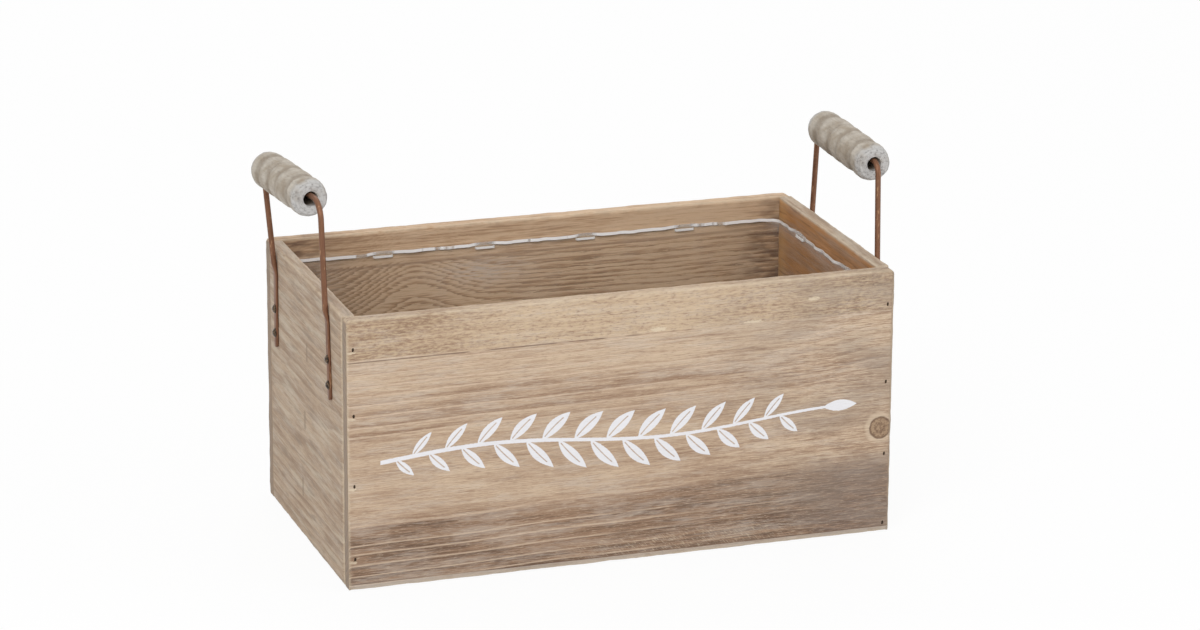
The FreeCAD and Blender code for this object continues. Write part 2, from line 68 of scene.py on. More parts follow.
class Signal:
    """A shader value that is worked with as in a sum."""

    def __init__(self, sums, socket):
        self.sums = sums
        self.socket = socket

    def __add__(self, other):
        return self.sums.math("ADD", self, other)

    def __radd__(self, other):
        return self.sums.math("ADD", other, self)

    def __sub__(self, other):
        return self.sums.math("SUBTRACT", self, other)

    def __rsub__(self, other):
        return self.sums.math("SUBTRACT", other, self)

    def __mul__(self, other):
        return self.sums.math("MULTIPLY", self, other)

    def __truediv__(self, other):
        return self.sums.math("DIVIDE", self, other)

    def __pow__(self, other):
        return self.sums.math("POWER", self, other)


class Tree:
    """A node tree, and the sums that are worked out in it."""

    def __init__(self, tree):
        self.tree = tree

    def feed(self, socket, value):
        if isinstance(value, Signal):
            self.tree.links.new(value.socket, socket)
        else:
            socket.default_value = value

    def node(self, kind, settings=None, inputs=None, output=0):
        made = self.tree.nodes.new(kind)
        for name, value in (settings or {}).items():
            setattr(made, name, value)
        for name, value in (inputs or {}).items():
            self.feed(made.inputs[name], value)
        return Signal(self, made.outputs[output])

    def math(self, operation, *values):
        return self.node("ShaderNodeMath", {"operation": operation}, dict(enumerate(values)))

    def least(self, *values):
        return self.math("MINIMUM", *values)

    def most(self, *values):
        return self.math("MAXIMUM", *values)

    def size_of(self, value):
        return self.math("ABSOLUTE", value)

    def distance(self, across, up):
        return (across * across + up * up) ** 0.5

    def hump(self, value):
        """1 at 0, falling to nearly 0 by 2 on either side."""
        return self.math("EXPONENT", value * value * -1)

    def place(self):
        """Where a point is on the object, in millimetres."""
        return self.parts(self.node("ShaderNodeTexCoord", output="Object"))

    def parts(self, place):
        """The three measures of a place, from metres to millimetres."""
        scaled = self.node("ShaderNodeVectorMath", {"operation": "SCALE"},
                           {"Vector": place, "Scale": 1 / MM})
        split = self.tree.nodes.new("ShaderNodeSeparateXYZ")
        self.feed(split.inputs[0], scaled)
        return [Signal(self, socket) for socket in split.outputs]

    def noise(self, x, y, z, detail=2.0, roughness=0.5):
        """Soft noise from 0 to 1 at a place given in its own units."""
        place = self.node("ShaderNodeCombineXYZ", inputs={"X": x, "Y": y, "Z": z})
        return self.node("ShaderNodeTexNoise", inputs={
            "Vector": place, "Scale": 1.0, "Detail": detail, "Roughness": roughness})

    def fade(self, value, low, high):
        """0 up to low, 1 from high on, and soft between them."""
        return self.node("ShaderNodeMapRange", {"interpolation_type": "SMOOTHSTEP"},
                         {"Value": value, "From Min": low, "From Max": high})

    def between(self, value, low, high, soft):
        """1 between two bounds and 0 outside them, with soft edges."""
        return self.fade(value, low - soft, low) * (1 - self.fade(value, high, high + soft))

    def blend(self, share, first, second):
        """From the first colour at 0 to the second at 1."""
        return self.node("ShaderNodeMix", {"data_type": "RGBA"}, {0: share, 6: first, 7: second}, 2)

    def bump(self, height, distance, strength=1.0):
        return self.node("ShaderNodeBump", inputs={
            "Height": height, "Distance": distance, "Strength": strength})


class Finish(Tree):
    """A material of its own."""

    def __init__(self, name):
        self.material = bpy.data.materials.new(name)
        self.material.use_nodes = True
        super().__init__(self.material.node_tree)
        self.shader = self.tree.nodes["Principled BSDF"]

    def finish(self, base, roughness, normal=None, metallic=0.0, alpha=1.0):
        """Feed the shader, and give back the material."""
        inputs = {"Base Color": base, "Roughness": roughness, "Metallic": metallic, "Alpha": alpha}
        if normal is not None:
            inputs["Normal"] = normal
        for name, value in inputs.items():
            self.feed(self.shader.inputs[name], value)
        return self.material


# Sizes of the box, in millimetres, for the wood's figure

def box_corners(node):
    return [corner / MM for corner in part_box(node)]


front_low, front_high = box_corners("front_board")
BOX_LENGTH = front_high.x - front_low.x
BOX_DEPTH = -2 * front_low.y
BOARD = front_high.y - front_low.y


# Wood

TAN = colour(200, 177, 151)
MIDDLE_TAN = colour(180, 154, 129)
BROWN = colour(146, 117, 93)
DARK_BROWN = colour(98, 74, 57)
CREAM = colour(216, 200, 174)
WASH = colour(198, 186, 173)
PALE_LINE = colour(208, 184, 160)
PORE = colour(118, 93, 74)
END_GRAIN = colour(130, 117, 103)
PAINT = colour(228, 228, 232)


class Figure:
    """The growth rings and fibres of one board, at each point of its surface."""

    def __init__(self, finish, place, directions, heart, pitch, seed, drift=0.0, lift=0.0, waver=2.0,
                 uneven=1.3, feather=0.0):
        """The directions are the letters of the board's grain, its face and its
        thickness. The heart of the tree lies at a place across the face and deep
        in the board. Drift slopes the rings along the grain, lift bends them and
        waver makes them wave. Uneven varies their spacing, and feather frays their
        edges along the grain."""
        self.finish = finish
        self.grain, self.across, self.depth = (place["xyz".index(letter)] for letter in directions)
        self.seed = seed
        wander = finish.noise(self.grain / 150 + seed, self.across / 90, self.depth / 90, 1.0) - 0.5
        sway = finish.noise(self.grain / 42, self.across / 26 + seed, self.depth / 26, 2.0) - 0.5
        self.side = self.across - heart[0] - self.grain * drift - lift
        self.side = self.side + (wander * 1.8 + sway * 0.6) * waver
        dip = (finish.noise(self.grain / 110, seed, 0.5, 1.0) - 0.5) * 3.4 * waver
        radius = finish.distance(self.side, self.depth - heart[1] + dip)
        self.turns = radius / pitch + finish.noise(radius / 8, seed, 3.3, 1.0) * uneven
        if feather:
            self.turns = self.turns + (self.streaks(16, 0.8, 18.6, 4.0) - 0.5) * feather
        self.phase = finish.math("FRACT", self.turns)

    def line(self, width=0.17, broken=1.0):
        """1 on the thin pale line where a ring begins. Where broken is 1 the line
        comes and goes along the grain."""
        ragged = self.streaks(6, 0.7, 5.1) * 0.05
        near = self.finish.least(self.phase, 1 - self.phase)
        drawn = self.finish.fade(self.streaks(38, 4, 8.3, 4.0), 0.36, 0.62)
        return (1 - self.finish.fade(near, ragged, ragged + width / 2)) * (1 - (1 - drawn) * broken)

    def band(self):
        """From 0 to 1 where a ring is dark: next to its line, then fading away."""
        return (1 - self.phase) ** 1.5

    def streaks(self, long, wide, shift=0.0, detail=3.0):
        """Noise drawn out along the grain, in millimetres long and wide."""
        return self.finish.noise(self.grain / long + shift, self.across / wide + self.seed,
                                 self.depth / wide, detail, 0.6)


def arris_share(finish, place, low, high, reach):
    """1 on the arrises of a board with these corners and 0 this far from them."""
    middle = (low + high) / 2
    half = (high - low) / 2
    gaps = [half[i] - finish.size_of(place[i] - middle[i]) for i in range(3)]
    second = finish.most(finish.least(gaps[0], gaps[1]),
                         finish.least(finish.most(gaps[0], gaps[1]), gaps[2]))
    return 1 - finish.fade(second, 0.0, reach)


def wood_colours(figure, tone, lines=0.6, wash=0.35, fibre=1.5):
    """The board's colour from a tone of 0 pale to 1 dark, before what marks it."""
    finish = figure.finish
    fine = figure.streaks(11, 0.42, detail=4.0)
    middling = figure.streaks(24, 1.3, 6.2)
    broad = figure.streaks(70, 3.4, 2.7)
    tone = tone + (fine - 0.5) * fibre + (middling - 0.5) * 0.9 + (broad - 0.5) * 0.8
    base = finish.blend(finish.fade(tone, 0.0, 0.5), TAN, MIDDLE_TAN)
    base = finish.blend(finish.fade(tone, 0.4, 0.95), base, BROWN)
    base = finish.blend(finish.fade(tone, 0.95, 1.5), base, DARK_BROWN)
    base = finish.blend(figure.line() * lines, base, PALE_LINE)
    pores = finish.fade(figure.streaks(6, 0.25, 7.9), 0.58, 0.72)
    base = finish.blend(pores * 0.6, base, PORE)
    milky = figure.streaks(34, 6, 4.4) * 0.55 + figure.streaks(8, 0.45, 1.3) * 0.45
    return finish.blend(finish.fade(milky, 0.45, 0.64) * wash, base, WASH)


def wood_relief(figure):
    """Brushed grain: the lines stand proud and the fibres are scratched."""
    finish = figure.finish
    height = figure.line(0.3) * 0.5 + figure.streaks(14, 0.45, 3.3) * 0.8
    height = height + figure.streaks(3.5, 0.28, 9.1) * 0.4
    return finish.bump(height, distance=0.35 * MM, strength=0.55)


def wear_arrises(finish, base, place, low, high):
    """Rub the paint off a board's arrises, unevenly, with dirt beside the worn part."""
    x, y, z = place
    patchy = finish.noise(x / 9, y / 9, z / 9, 4.0, 0.6)
    soiled = arris_share(finish, place, low, high, 5.5) * finish.fade(patchy, 0.45, 0.7)
    base = finish.blend(soiled * 0.45, base, BROWN)
    worn = arris_share(finish, place, low, high, 2.4) * finish.fade(patchy, 0.3, 0.52)
    return finish.blend(worn * 0.55, base, CREAM)


def show_end_grain(figure, base):
    """Greyer and speckled where a long board is cut across its grain."""
    finish = figure.finish
    cut = finish.fade(finish.size_of(figure.grain), BOX_LENGTH / 2 - 0.9, BOX_LENGTH / 2 - 0.5)
    specks = finish.noise(figure.across / 0.7, figure.depth / 0.7, figure.grain / 3, 3.0)
    grey = finish.blend(finish.fade(specks, 0.4, 0.7) * 0.5, END_GRAIN, BROWN)
    grey = finish.blend(figure.band() * 0.35, grey, MIDDLE_TAN)
    return finish.blend(cut * 0.92, base, grey)


def leaf(finish, along, aside, length, width):
    """Below 0 inside a leaf that starts at 0 and ends at its length, in millimetres."""
    share = along / length
    return finish.size_of(aside) - share * (1 - share) * (width * 2)


def brushed(finish, edge):
    """1 where the distance to a painted edge is below 0, with a crisp edge."""
    return 1 - finish.fade(edge, -0.12, 0.12)


SPRIG_LEFT = -124.0
SPRIG_RIGHT = 112.0
SPRIG_HEIGHT = 69.0
LEAF_PITCH = 17.5
LEAF_PAIRS = 13
LEAF_LEAN = math.radians(52)
LEAF_LENGTH = 21.0
LEAF_WIDTH = 6.6
TIP_LENGTH = 19.0
TIP_WIDTH = 6.0


def sprig(finish, x, z):
    """1 inside a painted sprig: a waved stem with leaves set by turns above and
    below it, larger in the middle, and one leaf at its tip."""
    ragged = (finish.noise(x / 1.3, z / 0.8, 1.0, 3.0) - 0.5) * 0.55
    share = (x - SPRIG_LEFT) / (SPRIG_RIGHT - SPRIG_LEFT)
    wave = finish.math("SINE", share * 7.5) * 3.2
    aside = z - SPRIG_HEIGHT - wave - share * 1.5
    above = finish.math("GREATER_THAN", aside, 0.0)
    along = x - SPRIG_LEFT - above * (LEAF_PITCH / 2)
    number = finish.math("FLOOR", along / LEAF_PITCH)
    step = along - number * LEAF_PITCH
    out = finish.size_of(aside)
    cosine, sine = math.cos(LEAF_LEAN), math.sin(LEAF_LEAN)
    up_leaf = step * cosine + out * sine
    off_leaf = out * cosine - step * sine + up_leaf * up_leaf * 0.006
    started = finish.fade(number, -0.6, -0.4)
    ended = finish.fade(number + above, LEAF_PAIRS - 0.6, LEAF_PAIRS - 0.4)
    fullness = 0.62 + finish.math("SINE", share * math.pi) * 0.42
    length = fullness * LEAF_LENGTH
    edge = leaf(finish, up_leaf, off_leaf, length, fullness * LEAF_WIDTH) + ragged
    leaves = brushed(finish, edge) * (started * (1 - ended))
    rib = (1 - finish.fade(finish.size_of(off_leaf), 0.22, 0.42)) * finish.between(
        up_leaf, length * 0.12, length * 0.78, 0.5)
    leaves = leaves * (1 - rib * 0.85)
    stem_width = 1.15 - share * 0.45
    stem = brushed(finish, out + ragged - stem_width) * finish.between(
        x, SPRIG_LEFT - 8, SPRIG_RIGHT, 0.3)
    tip = leaf(finish, x - SPRIG_RIGHT + 1.5, aside, TIP_LENGTH, TIP_WIDTH) + ragged
    return finish.most(finish.most(leaves, stem), brushed(finish, tip))


KNOT_X = 143.3
KNOT_Z = 58.8
KNOT_RADIUS = 6.2
KNOT_TAN = colour(162, 136, 108)
KNOT_BROWN = colour(114, 88, 68)


def add_knot(finish, base, x, z):
    """A round knot at the right end, with a dark rim, rays and a pale halo."""
    across, up = x - KNOT_X, z - KNOT_Z
    away = finish.distance(across, up) / KNOT_RADIUS
    away = away + (finish.noise(x / 4, z / 4, 2.0, 2.0) - 0.5) * 0.22
    rings = finish.math("SINE", away * 13 + finish.noise(x / 2, z / 2, 5.0) * 5)
    rays = finish.noise(across / 1.1, up / 1.1, away * 2, 4.0, 0.7)
    inside = finish.blend(finish.fade(rings * 0.07 + rays, 0.35, 0.68), KNOT_TAN, KNOT_BROWN)
    halo = finish.between(away, 1.0, 1.22, 0.35)
    base = finish.blend(halo * 0.5, base, colour(208, 188, 163))
    base = finish.blend(1 - finish.fade(away, 0.93, 1.0), base, inside)
    return finish.blend(finish.between(away, 0.92, 0.98, 0.08) * 0.6, base, DARK_BROWN)


def worn_spot(finish, base, x, z, spot_x, spot_z, long, high):
    """A chip along the grain where the bare cream wood shows."""
    across, up = (x - spot_x) / long, (z - spot_z) / high
    away = finish.distance(across, up) + (finish.noise(x / 2.2, z / 0.8, 0.0, 4.0, 0.7) - 0.5) * 2.6
    return finish.blend((1 - finish.fade(away, 0.55, 0.95)) * 0.75, base, CREAM)


SEAM_HEIGHT = 123.6


def front_board_finish():
    """The front: dark bands below, a calm middle, and a mottled strip above a glued
    seam. The painted sprig runs along the middle."""
    finish = Finish("front_board_wood")
    place = finish.place()
    x, y, z = place
    bulge = finish.hump((x - KNOT_X) / 26) * (z - KNOT_Z) / 9
    figure = Figure(finish, place, "xzy", heart=(56, -36), pitch=3.9, seed=3.1, drift=0.017, lift=bulge,
                    waver=0.8)
    below = 1 - finish.fade(figure.side, -29, -9)
    above = finish.fade(figure.side, 17, 32)
    strip = finish.fade(z + (finish.noise(x / 50, 0.3, 2.2) - 0.5) * 2.5, SEAM_HEIGHT, SEAM_HEIGHT + 0.7)
    patches = finish.noise(x / 75 + 4, z / 13, y / 13, 2.0) - 0.5
    right = finish.fade(x, 10, 140)
    outer = finish.fade(finish.size_of(x), 30, 130)
    under_seam = finish.between(z, 108, SEAM_HEIGHT, 6) * (1 - strip)
    tone = 0.36 + below * (0.65 + outer * 0.1) + above * 0.05 - under_seam * 0.3 + patches * 0.8
    tone = tone + strip * (outer * 0.42 - 0.12) + right * 0.08
    tone = tone + figure.band() * (0.08 + below * 0.26 + above * 0.3) * (1 - strip * 0.7)
    tone = tone + (figure.streaks(9, 1.0, 19.3, 4.0) - 0.5) * right * 1.9
    base = wood_colours(figure, tone, lines=0.0, wash=0.42, fibre=1.5 + right * 1.4)
    shown = finish.most(finish.least(below * 1.6, 1.0), above) * (1 - strip * 0.8)
    faint = 1 - finish.fade(x, 0, 110) * (1 - finish.fade(z, 50, 70)) * 0.6
    line = figure.line(broken=finish.fade(x, -70, 30))
    base = finish.blend(line * shown * faint * 0.64, base, PALE_LINE)
    dashes = finish.fade(figure.streaks(5, 0.5, 12.4, 4.0), 0.53, 0.64)
    base = finish.blend(dashes * (0.35 + right * 0.2), base, colour(132, 104, 82))
    pale_dashes = finish.fade(figure.streaks(4, 0.4, 15.7, 4.0), 0.54, 0.66)
    base = finish.blend(pale_dashes * (0.35 + right * 0.15), base, colour(220, 200, 174))
    mottle = finish.noise(x / 3.5, z / 1.1, y, 4.0, 0.7)
    base = finish.blend(strip * finish.fade(mottle, 0.42, 0.62) * 0.5, base, colour(206, 184, 150))
    base = finish.blend(strip * (1 - finish.fade(mottle, 0.32, 0.45)) * 0.65, base, colour(136, 108, 84))
    grey = right * finish.fade(finish.noise(x / 45 + 8, z / 22, 0.0), 0.38, 0.62)
    base = finish.blend(grey * 0.42, base, colour(150, 135, 120))
    corner = finish.fade(x + (patches - 0.1) * 60, 78, 120) * (1 - finish.fade(z, 34, 50))
    stained = finish.fade(figure.streaks(9, 0.5, 17.3, 4.0), 0.44, 0.6) * 0.45 + 0.22
    base = finish.blend(corner * stained, base, colour(118, 101, 91))
    broken_seam = finish.fade(finish.noise(x / 22, 9.0, 0.0) - finish.fade(x, -60, 60) * 0.2, 0.34, 0.5)
    seam = finish.between(z - x * 0.004, SEAM_HEIGHT - 0.35, SEAM_HEIGHT, 0.3) * broken_seam
    base = finish.blend(seam * 0.7, base, DARK_BROWN)
    scratch = finish.noise((x + z) / 0.7, (x - z) / 5, 6.0, 3.0)
    sanded = (1 - finish.fade(z, 9, 17)) * finish.fade(x, -50, 10) * (1 - finish.fade(x, 60, 110))
    base = finish.blend(sanded * finish.fade(scratch, 0.52, 0.66) * 0.35, base, CREAM)
    foot = z + (finish.noise(x / 30, 4.0, 4.0) - 0.5) * 0.8
    base = finish.blend(finish.between(foot, -1, 2.9, 0.4) * 0.62, base, WASH)
    base = finish.blend(finish.between(foot, 3.2, 3.6, 0.25) * 0.5, base, DARK_BROWN)
    for spot_x, spot_z, long, high in ((18, 125.5, 5.5, 1.5), (71, 124.6, 6.5, 1.1), (104, 134, 4, 1.2)):
        base = worn_spot(finish, base, x, z, spot_x, spot_z, long, high)
    for middle in loose_middles("front_left_brads"):
        base = worn_spot(finish, base, x, z, middle.x / MM - 1.2, middle.z / MM - 1.6, 2.8, 0.9)
    base = add_knot(finish, base, x, z)
    # Painted shade: a thin dark line along the right arris, where the surface turns away from the light.
    base = finish.blend(finish.fade(x, 147.6, 148.6) * 0.35, base, DARK_BROWN)
    base = wear_arrises(finish, base, place, front_low, front_high)
    base = show_end_grain(figure, base)
    rubbed = finish.fade(figure.streaks(7, 0.4, 6.6), 0.6, 0.75) * 0.4
    on_face = 1 - finish.fade(y, front_low.y + 0.5, front_low.y + 1)
    painted = sprig(finish, x, z) * on_face * (1 - rubbed)
    base = finish.blend(painted * 0.95, base, PAINT)
    return finish.finish(base, 0.72 - painted * 0.12, wood_relief(figure))


def back_board_finish():
    """The back: strong dark bands, bent up to a peak at the left inside, and a
    mottled strip above them."""
    finish = Finish("back_board_wood")
    place = finish.place()
    x, y, z = place
    from_peak = x + 70
    bend = finish.hump(from_peak / 30) * 15 + finish.least(from_peak, 0.0) * 0.16
    figure = Figure(finish, place, "xzy", heart=(70, 100), pitch=2.5, seed=11.6, lift=bend,
                    uneven=3.0, feather=1.6)
    inside = 1 - finish.fade(y, BOX_DEPTH / 2 - 1.6, BOX_DEPTH / 2 - 0.8)
    strip = finish.fade(z + (finish.noise(x / 60, 5.3, 2.2) - 0.5) * 4, 126, 128)
    patches = finish.noise(x / 60 + 9, z / 11, y / 11, 2.0) - 0.5
    shade = finish.fade(x, 112, 141) * inside * (1 - strip * 0.5)
    tone = (1 - inside) * 0.25 + patches * 0.9 + shade * 0.7 - finish.fade(x, 30, 90) * inside * 0.38
    tone = tone + (1 - finish.fade(x, -125, -78)) * inside * 0.28
    tone = tone + strip * inside * (figure.streaks(38, 1.6, 16.1, 4.0) - 0.44) * 3.4
    bands = figure.band() * (2.1 - strip * 1.8) * (0.32 + inside * 0.68)
    tone = tone + bands - inside * (1 - strip) * 0.36
    base = wood_colours(figure, tone, lines=0.1, wash=0.2, fibre=2.6)
    # Inside face warmer, as unwashed wood, and paler as painted light against the shade inside the box.
    base = finish.blend(inside * 0.3, base, colour(222, 180, 136))
    cloudy_x, cloudy_z = (x + 30) / 26, (z - 119) / 7
    cloudy = finish.math("EXPONENT", (cloudy_x * cloudy_x + cloudy_z * cloudy_z) * -1)
    hazy = cloudy * 0.7 + (1 - finish.fade(x, -135, -95)) * finish.between(z, 112, 132, 5) * 0.5
    hazy = hazy * finish.fade(figure.streaks(9, 0.9, 14.2), 0.35, 0.6) * inside
    base = finish.blend(hazy, base, colour(206, 190, 176))
    base = finish.blend(inside * finish.between(z - x * 0.01, 126.3, 127.1, 0.7) * 0.5, base, BROWN)
    left_shade = (1 - finish.fade(x, -142, -104)) * finish.fade(z, 104, 122) * inside
    blots = finish.fade(finish.noise(x / 12, z / 3, 3.0, 4.0), 0.38, 0.62)
    base = finish.blend(finish.most(shade, left_shade) * blots * 0.75, base, colour(96, 72, 57))
    base = wear_arrises(finish, base, place, *box_corners("back_board"))
    base = show_end_grain(figure, base)
    return finish.finish(base, 0.72, wood_relief(figure))


def end_board_finish(name, side, seed):
    """An end: staves glued edge to edge, with the grain along the box's depth, greyed outside and golden
    inside, with a painted reflection inside by the back corner."""
    finish = Finish(name + "_wood")
    place = finish.place()
    x, y, z = place
    figure = Figure(finish, place, "yzx", heart=(66, side * 196), pitch=4.1, seed=seed, drift=-0.02)
    face = BOX_LENGTH / 2 - BOARD
    outside = finish.fade(x * side, face + 0.2, face + 0.6)
    inside = 1 - outside
    patches = finish.noise(y / 40 + seed, z / 10, x / 10, 2.0) - 0.5
    tone = 0.42 + patches * 0.9 + figure.band() * 0.5
    base = wood_colours(figure, tone, lines=0.45, wash=0.5)
    base = finish.blend(outside * 0.3, base, colour(163, 147, 126))
    milky = finish.fade(figure.streaks(48, 4.5, 3.9, 2.0), 0.5, 0.66)
    base = finish.blend(outside * milky * 0.45, base, colour(200, 188, 168))
    worn_grey = finish.fade(figure.streaks(26, 3.5, 6.9, 4.0), 0.54, 0.68)
    base = finish.blend(outside * worn_grey * 0.5, base, colour(136, 121, 106))
    dashes = finish.fade(figure.streaks(4, 0.5, 12.4, 4.0), 0.54, 0.66)
    base = finish.blend(outside * dashes * 0.35, base, colour(128, 112, 96))
    for stave, height in enumerate((34.0, 73.0, 112.0)):
        joint = finish.between(z + y * 0.01, height - 0.15, height + 0.15, 0.2)
        base = finish.blend(joint * 0.3, base, BROWN)
        finger = finish.between(y + z * 0.02, 6.9 - stave * 5, 8.9 - stave * 5, 0.7)
        finger = finger * finish.between(z, height - 11, height - 1, 0.5)
        base = finish.blend(finger * 0.55, base, colour(128, 110, 92))
    golden = finish.fade(figure.streaks(60, 5, 8.8), 0.4, 0.62)
    base = finish.blend(inside * 0.58, base, colour(150, 101, 57))
    base = finish.blend(inside * golden * 0.5, base, colour(184, 124, 56))
    # Painted reflection: a paler band on the inside by the back corner, where the film's fold shines.
    base = finish.blend(inside * finish.fade(y, 52, 66) * 0.4, base, colour(206, 162, 106))
    veins = finish.fade(figure.streaks(22, 1.2, 10.6, 4.0), 0.55, 0.68)
    base = finish.blend(inside * veins * 0.5, base, colour(104, 72, 48))
    base = wear_arrises(finish, base, place, *box_corners(name))
    return finish.finish(base, 0.75, wood_relief(figure))


def bottom_board_finish():
    """The bottom, with its grain along the box's length."""
    finish = Finish("bottom_board_wood")
    place = finish.place()
    x, y, z = place
    figure = Figure(finish, place, "xyz", heart=(15, -60), pitch=4.4, seed=23.4)
    tone = 0.1 + figure.band() * 0.5 + (finish.noise(x / 60, y / 20, 4.0) - 0.5) * 0.5
    return finish.finish(wood_colours(figure, tone), 0.75, wood_relief(figure))


# Other finishes

def grip_finish(name, joint):
    """Turned wood that was whitewashed and rubbed back, with dirt and painted shade in its grooves and
    painted shade round the rims of its ends.
    """
    finish = Finish(name + "_wood")
    turn = Vector(joint["axis"]).rotation_difference(UP)
    whole = finish.node("ShaderNodeTexCoord", output="Object")
    local = finish.node("ShaderNodeMapping", inputs={
        "Vector": whole, "Location": -(turn @ Vector(joint["pos_m"])), "Rotation": turn.to_euler()})
    x, y, along = finish.parts(local)
    radius = finish.distance(x, y)
    fibres = finish.noise(x / 0.9, y / 0.9, along / 14, 3.0, 0.65)
    blotches = finish.noise(x / 9, y / 9, along / 9, 3.0)
    turned = finish.noise(radius / 0.6, 0.0, along / 0.7, 2.0)
    base = finish.blend(finish.fade(blotches, 0.3, 0.7), colour(160, 147, 130), colour(190, 182, 170))
    base = finish.blend(finish.fade(fibres, 0.5, 0.8) * 0.5, base, colour(132, 116, 98))
    # Dirt in the grooves, and painted shade there too.
    groove = 1 - finish.fade(radius + (blotches - 0.5) * 0.6, 9.5, 10.1)
    groove = groove * (1 - finish.fade(finish.size_of(along), 33, 35))
    base = finish.blend(groove * 0.45, base, colour(118, 104, 88))
    crown = finish.fade(radius + (blotches - 0.5) * 1.2, 10.1, 10.6)
    base = finish.blend(crown * 0.3, base, colour(200, 193, 182))
    ends = finish.fade(finish.size_of(along) + (blotches - 0.5) * 7, 31, 36.5)
    base = finish.blend(ends * finish.fade(blotches, 0.2, 0.55) * 0.8, base, colour(194, 194, 194))
    specks = finish.fade(finish.noise(x / 1.6, y / 1.6, along / 2.2, 4.0, 0.75), 0.52, 0.66)
    base = finish.blend(specks * (0.2 + ends * 0.4), base, colour(112, 106, 102))
    rings = finish.noise(radius / 0.9, 3.0, 7.0, 2.0)
    base = finish.blend(finish.fade(rings, 0.45, 0.6) * ends * 0.25, base, colour(140, 136, 134))
    cracks = finish.fade(finish.noise(x / 4.5, y / 4.5, along / 9, 3.0, 0.7), 0.56, 0.68)
    base = finish.blend(cracks * ends * 0.5, base, colour(120, 116, 114))
    # Painted shade: the rim of each end face darker where it rounds over.
    rim = finish.fade(radius, 7.6, 9.2) * finish.fade(finish.size_of(along), 36.5, 37.6)
    base = finish.blend(rim * 0.45, base, colour(128, 122, 116))
    height = fibres * 0.6 + turned * 0.35 - specks * 0.6
    return finish.finish(base, 0.78, finish.bump(height, 0.4 * MM, 0.6))


def wire_finish():
    """Copper-brown coated wire."""
    finish = Finish("bail_copper_brown")
    x, y, z = finish.place()
    mottle = finish.noise(x / 3, y / 3, z / 9, 3.0)
    rub = finish.fade(finish.noise(x / 1.2, y / 1.2, z / 5, 3.0), 0.6, 0.75)
    base = finish.blend(mottle, colour(98, 65, 46), colour(140, 99, 74))
    base = finish.blend(rub * 0.5, base, colour(206, 166, 122))
    return finish.finish(base, 0.42 + mottle * 0.15, finish.bump(mottle, 0.2 * MM, 0.3), metallic=0.6)


def nail_finish():
    """Dark bronzed nails, worn brighter here and there."""
    finish = Finish("nail_dark_bronze")
    x, y, z = finish.place()
    mottle = finish.noise(x / 1.1, y / 1.1, z / 1.1, 3.0)
    base = finish.blend(finish.fade(mottle, 0.35, 0.7), colour(42, 35, 30), colour(112, 94, 74))
    return finish.finish(base, 0.2 + mottle * 0.15, finish.bump(mottle, 0.15 * MM, 0.3), metallic=0.75)


def brad_finish():
    """Dull dark steel."""
    finish = Finish("brad_dark_steel")
    x, y, z = finish.place()
    mottle = finish.noise(x / 0.8, y / 0.8, z / 0.8, 2.0)
    return finish.finish(finish.blend(mottle, colour(40, 32, 26), colour(92, 74, 58)), 0.55,
                         finish.bump(mottle, 0.1 * MM), metallic=0.6)


def staple_finish():
    """Galvanised wire, coloured near-white as a painted highlight for its glints."""
    finish = Finish("staple_painted_glint")
    x, y, z = finish.place()
    mottle = finish.noise(x / 1.5, y / 1.5, z / 1.5, 2.0)
    return finish.finish(finish.blend(mottle, colour(232, 232, 232), colour(250, 250, 248)), 0.32,
                         finish.bump(mottle, 0.1 * MM, 0.4), metallic=0.1)


def film_finish():
    """Clear film: hardly there on the flat, with a painted highlight in broken white lengths on its hem.
    """
    finish = Finish("clear_film")
    x, y, z = finish.place()
    crumple = finish.noise(x / 11, y / 11, z / 26, 3.0)
    painted_highlight_and_veil = finish.node("ShaderNodeAttribute", {"attribute_name": "painted_highlight_and_veil"}, output=2)
    broken = finish.fade(finish.noise(x / 26, y / 26, 0.0, 4.0, 0.6), 0.4, 0.45)
    clear = 0.004 + finish.fade(crumple, 0.5, 0.75) * 0.016 + finish.least(painted_highlight_and_veil, 0.15)
    # Painted highlight: the hem is made white and nearly opaque in broken lengths.
    clear = clear + finish.fade(painted_highlight_and_veil, 0.2, 0.6) * (broken * 0.95 - 0.05)
    return finish.finish((1.0, 1.0, 1.0, 1.0), 0.2, finish.bump(crumple, 0.6 * MM, 0.35), alpha=clear)


# Modelling by hand

def start_piece(name):
    """Name the primitive that was just added and open it in edit mode."""
    piece = bpy.context.object
    piece.name = name
    piece.data.name = name
    bpy.ops.object.mode_set(mode="EDIT")
    return piece


def select_only(first, *others):
    """Select these pieces and nothing else, with the first one active."""
    bpy.ops.object.select_all(action="DESELECT")
    for piece in (first, *others):
        piece.select_set(True)
    bpy.context.view_layer.objects.active = first


def pick(piece, kind, wanted):
    """Select, in edit mode, the vertices, edges or faces that pass a test."""
    bpy.ops.mesh.select_mode(type={"verts": "VERT", "edges": "EDGE", "faces": "FACE"}[kind])
    bpy.ops.mesh.select_all(action="DESELECT")
    mesh = bmesh.from_edit_mesh(piece.data)
    for item in getattr(mesh, kind):
        if wanted(item):
            item.select_set(True)
    mesh.select_flush_mode()
    bmesh.update_edit_mesh(piece.data)


def edge_runs_along(edge, direction):
    run = edge.verts[1].co - edge.verts[0].co
    return run.length > 0 and abs(run.normalized().dot(direction)) > 0.99


def divide_along(piece, direction, shortest, cuts):
    """Divide the edges that run in a direction and are longer than the shortest."""
    pick(piece, "edges", lambda edge: edge_runs_along(edge, direction) and edge.calc_length() > shortest)
    bpy.ops.mesh.subdivide(number_cuts=cuts)


def end_piece(piece, body, slot, finish, *nodes):
    """Give a piece its finish and body, and hide the nodes that it stands in for. The slot is not used.
    """
    piece.data.materials.clear()
    piece.data.materials.append(finish)
    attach(piece, body)
    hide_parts(*nodes)
    piece.select_set(False)


